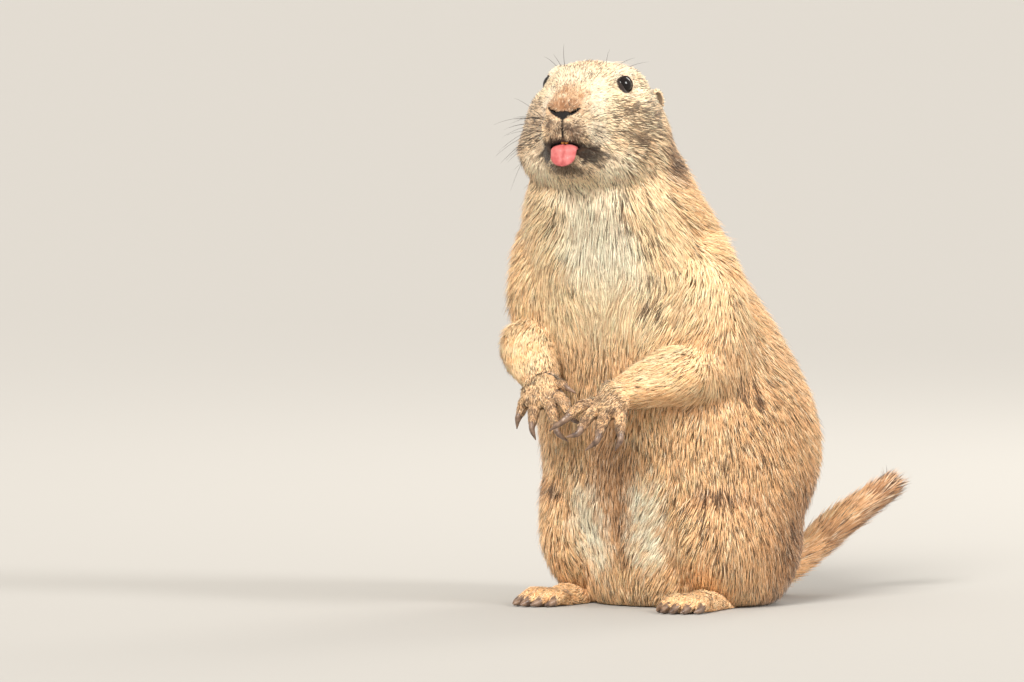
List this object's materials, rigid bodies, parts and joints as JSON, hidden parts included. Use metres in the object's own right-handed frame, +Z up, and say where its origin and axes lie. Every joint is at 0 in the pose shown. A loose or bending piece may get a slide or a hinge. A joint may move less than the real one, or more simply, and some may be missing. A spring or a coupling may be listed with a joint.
{
  "type": "black-tailed prairie dog model",
  "caption": "Life-size still model of an adult prairie dog sitting up on its haunches, paws held in front of the belly, mouth open and tongue out, tail swept up.",
  "frame": {"origin": "middle of the bounding box's footprint, on the floor", "axes": "+Z up, the hips and feet facing -Y, the animal's left side towards +X"},
  "size_m": [0.1392, 0.2271, 0.2616],
  "materials": {
    "fur_back": "short tan coat with pale tips and dark flecks",
    "fur_chest": "soft cream coat",
    "fur_limb": "short sandy coat",
    "fur_brush": "dark brown tail brush",
    "claw": "dark satin horn",
    "eye": "wet black",
    "tongue": "moist pink",
    "tooth": "orange-yellow enamel"
  },
  "bodies": {
    "root": {"head": "fur_back", "neck": "fur_back", "chest": "fur_chest", "belly": "fur_back", "eye_left": "eye", "eye_right": "eye", "ear_left": "fur_limb", "ear_right": "fur_limb", "tongue": "tongue", "incisor_left": "tooth", "incisor_right": "tooth", "upper_arm_left": "fur_limb", "upper_arm_right": "fur_limb", "forearm_left": "fur_limb", "forearm_right": "fur_limb", "hand_left": "fur_limb", "hand_right": "fur_limb", "thigh_left": "fur_limb", "thigh_right": "fur_limb", "foot_left": "fur_limb", "foot_right": "fur_limb", "tail": "fur_back", "tail_brush": "fur_brush", "fore_claw_left_1": "claw", "fore_claw_left_2": "claw", "fore_claw_left_3": "claw", "fore_claw_left_4": "claw", "fore_claw_left_5": "claw", "fore_claw_right_1": "claw", "fore_claw_right_2": "claw", "fore_claw_right_3": "claw", "fore_claw_right_4": "claw", "fore_claw_right_5": "claw", "hind_claw_left_1": "claw", "hind_claw_left_2": "claw", "hind_claw_left_3": "claw", "hind_claw_left_4": "claw", "hind_claw_left_5": "claw", "hind_claw_right_1": "claw", "hind_claw_right_2": "claw", "hind_claw_right_3": "claw", "hind_claw_right_4": "claw", "hind_claw_right_5": "claw"}
  },
  "joints": []
}
